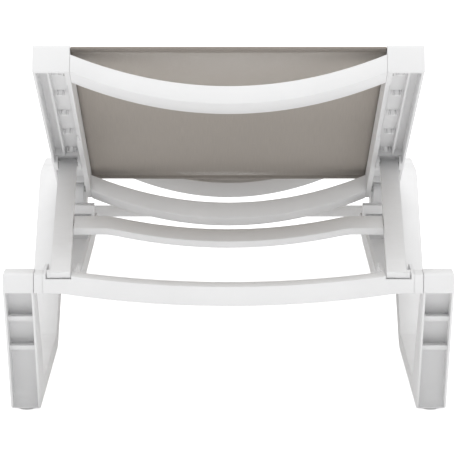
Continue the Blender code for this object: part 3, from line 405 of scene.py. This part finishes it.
def sling_sheet(name, low, high, home, body):
    """The woven sheet between two rails, its edges tucked into their grooves."""
    work = bmesh.new()
    uv = work.loops.layers.uv.new("cloth")
    columns = SHEET_COLUMNS
    rows = max(FEWEST_SHEET_ROWS, round((high.y - low.y) / SHEET_ROW_LENGTH))
    grid = []
    for row in range(rows + 1):
        y = low.y + HEM_ROLL + (high.y - low.y - 2 * HEM_ROLL) * row / rows
        in_groove = min(y - low.y, high.y - y) > GROOVE_END_ROOM
        reach = high.x + (SHEET_TUCK if in_groove else 0)
        line = []
        for column in range(columns + 1):
            x = -reach + 2 * reach * column / columns
            inner = max(-high.x, min(high.x, x))
            line.append(work.verts.new((x, y, sheet_height(inner, y, low, high))))
        grid.append(line)
    for row in range(rows):
        for column in range(columns):
            corners = (
                grid[row][column],
                grid[row][column + 1],
                grid[row + 1][column + 1],
                grid[row + 1][column],
            )
            face = work.faces.new(corners)
            for loop in face.loops:
                loop[uv].uv = loop.vert.co.x, loop.vert.co.y
    piece = mesh_piece(name, work, home, MESH, body)
    thick = piece.modifiers.new("cloth_thickness", "SOLIDIFY")
    thick.thickness = SHEET_THICKNESS
    thick.offset = 0
    return piece


def hem_outline(end, inwards):
    """The side view of a doubled hem that is rolled round its end: (y, z) about the sheet's middle."""
    half = HEM_THICKNESS / 2
    points = []
    for step in range(HEM_ROUND_STEPS + 1):
        angle = math.pi / 2 + math.pi * step / HEM_ROUND_STEPS
        y = end + inwards * (HEM_ROLL + HEM_ROLL * math.cos(angle))
        points.append((y, HEM_ROLL * math.sin(angle)))
    flat = end + inwards * 3.2 * HEM_ROLL
    step_in = end + inwards * (HEM_WIDTH - HEM_EDGE_STEP)
    edge = end + inwards * HEM_WIDTH
    points += [(flat, -half), (step_in, -half), (edge, -SHEET_THICKNESS / 2 - HEM_GAP)]
    points += [(edge, SHEET_THICKNESS / 2 + HEM_GAP), (step_in, half), (flat, half)]
    return points


def close_rings(work, rings):
    """Faces between rings of equal point count, and a cap on each end."""
    for first, second in zip(rings, rings[1:]):
        for i in range(len(first)):
            j = (i + 1) % len(first)
            work.faces.new((first[i], first[j], second[j], second[i]))
    work.faces.new(rings[0])
    work.faces.new(rings[-1])


def end_hem(name, low, high, end, inwards, home, body):
    """The hem across one end of a sling."""
    work = bmesh.new()
    uv = work.loops.layers.uv.new("cloth")
    outline = hem_outline(end, inwards)
    rings = []
    for column in range(SHEET_COLUMNS + 1):
        x = high.x * (2 * column / SHEET_COLUMNS - 1) * HEM_SHARE_OF_WIDTH
        rings.append([work.verts.new((x, y, sheet_height(x, y, low, high) + z)) for y, z in outline])
    close_rings(work, rings)
    for face in work.faces:
        for loop in face.loops:
            loop[uv].uv = loop.vert.co.x, loop.vert.co.y + loop.vert.co.z
    piece = mesh_piece(name, work, home, HEM, body)
    crisp = piece.modifiers.new("crisp_edges", "EDGE_SPLIT")
    crisp.split_angle = math.radians(50)
    return piece


def add_stitch(work, centre, along, up):
    """One stitch: a short thread that rises from the cloth and goes back into it."""
    side = along.cross(up)
    half, wide, tall = STITCH_LENGTH / 2, STITCH_HALF_WIDTH, STITCH_HALF_HEIGHT
    ring_places = ((-1, 0.35, -0.3), (-0.55, 1, 0.55), (0.55, 1, 0.55), (1, 0.35, -0.3))
    rings = []
    for reach, girth, lift in ring_places:
        middle = centre + along * (half * reach) + up * (tall * lift)
        ring = [
            middle + side * (wide * girth * math.cos(turn)) + up * (tall * girth * math.sin(turn))
            for turn in (math.tau * i / STITCH_SIDES for i in range(STITCH_SIDES))
        ]
        rings.append([work.verts.new(point) for point in ring])
    close_rings(work, rings)


def hem_stitching(name, low, high, end, inwards, home, body):
    """Two rows of lockstitch along a hem, on both of its faces."""
    work = bmesh.new()
    count = int((2 * high.x - STITCH_END_ROOM) / STITCH_PITCH)
    for inset in (OUTER_ROW_INSET, HEM_WIDTH - INNER_ROW_INSET):
        y = end + inwards * inset
        for i in range(count):
            x = (i - (count - 1) / 2) * STITCH_PITCH
            level = sheet_height(x, y, low, high)
            for face in (-1, 1):
                centre = Vector((x, y, level + face * HEM_THICKNESS / 2))
                add_stitch(work, centre, Vector((1, 0, 0)), Vector((0, 0, face)))
    return mesh_piece(name, work, home, THREAD, body)


def make_sling(part, home, body):
    """A whole sling: the sheet, a hem across each end, and the hems' stitching."""
    node = part + "_sling"
    low, high = box_in(node, home)
    sheet = sling_sheet(part + "_mesh", low, high, home, body)
    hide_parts(node)
    for word, end, inwards in (("head", low.y, 1), ("foot", high.y, -1)):
        hem = end_hem(f"{part}_hem_{word}", low, high, end, inwards, home, body)
        stitches = hem_stitching(f"{part}_stitching_{word}", low, high, end, inwards, home, body)


# ---------------------------------------------------------------- studio


def pale_floor():
    """A wide pale floor that stays bright, with only soft shadows under the legs."""
    material, tree, shader = new_finish("pale floor")
    place = object_place(tree)
    tone = spread(tree, cloudy(tree, place, 2.0), 0.3, 0.7, 0.84, 0.88)
    colour = place_node(tree, "ShaderNodeCombineColor")
    for socket in colour.inputs:
        feed(tree, socket, tone)
    feed(tree, shader.inputs["Base Color"], colour.outputs[0])
    shader.inputs["Roughness"].default_value = 0.9
    seen = place_node(tree, "ShaderNodeLightPath").outputs["Is Camera Ray"]
    glow = spread(tree, seen, 0, 1, FLOOR_GLOW_UNSEEN, FLOOR_GLOW_SEEN)
    feed(tree, shader.inputs["Emission Strength"], glow)
    shader.inputs["Emission Color"].default_value = (1, 1, 1, 1)
    work = bmesh.new()
    bmesh.ops.create_circle(work, cap_ends=True, segments=FLOOR_SIDES, radius=FLOOR_RADIUS)
    mesh = bpy.data.meshes.new("floor")
    work.to_mesh(mesh)
    work.free()
    mesh.materials.append(material)
    floor = bpy.data.objects.new("floor", mesh)
    bpy.context.scene.collection.objects.link(floor)


def soft_light(name, place, target, width, height, power):
    lamp = bpy.data.lights.new(name, "AREA")
    lamp.shape = "RECTANGLE"
    lamp.size, lamp.size_y = width, height
    lamp.energy = power
    holder = bpy.data.objects.new(name, lamp)
    holder.location = place
    holder.rotation_euler = (Vector(target) - Vector(place)).to_track_quat("-Z", "Y").to_euler()
    bpy.context.scene.collection.objects.link(holder)


def studio():
    world = bpy.data.worlds.new("studio")
    world.use_nodes = True
    bpy.context.scene.world = world
    tree = world.node_tree
    backdrop = tree.nodes["Background"]
    backdrop.inputs["Color"].default_value = (1, 1, 1, 1)
    seen = place_node(tree, "ShaderNodeLightPath").outputs["Is Camera Ray"]
    feed(tree, backdrop.inputs["Strength"], spread(tree, seen, 0, 1, SKY_UNSEEN, SKY_SEEN))
    soft_light("overhead_softbox", (0, -0.6, 4.2), (0, 0, 0), 4.0, 5.0, 50)
    soft_light("front_softbox", (0, -6.5, 3.4), (0, -0.6, 0.3), 4.0, 3.0, 10)
    bpy.context.scene.view_settings.view_transform = "Standard"


def camera():
    """Low over the head end, far off, looking slightly down along the lounger."""
    lens = bpy.data.cameras.new("camera")
    lens.lens = LENS_LENGTH
    lens.sensor_width = FILM_WIDTH
    lens.clip_end = FARTHEST_SEEN
    holder = bpy.data.objects.new("camera", lens)
    holder.location = CAMERA_PLACE
    holder.rotation_euler = (CAMERA_TILT, 0, 0)
    bpy.context.scene.collection.objects.link(holder)
    bpy.context.scene.camera = holder


dress_frame()
make_sling("back", BACKREST, "backrest")
make_sling("seat", SEAT, "base")
pale_floor()
studio()
camera()
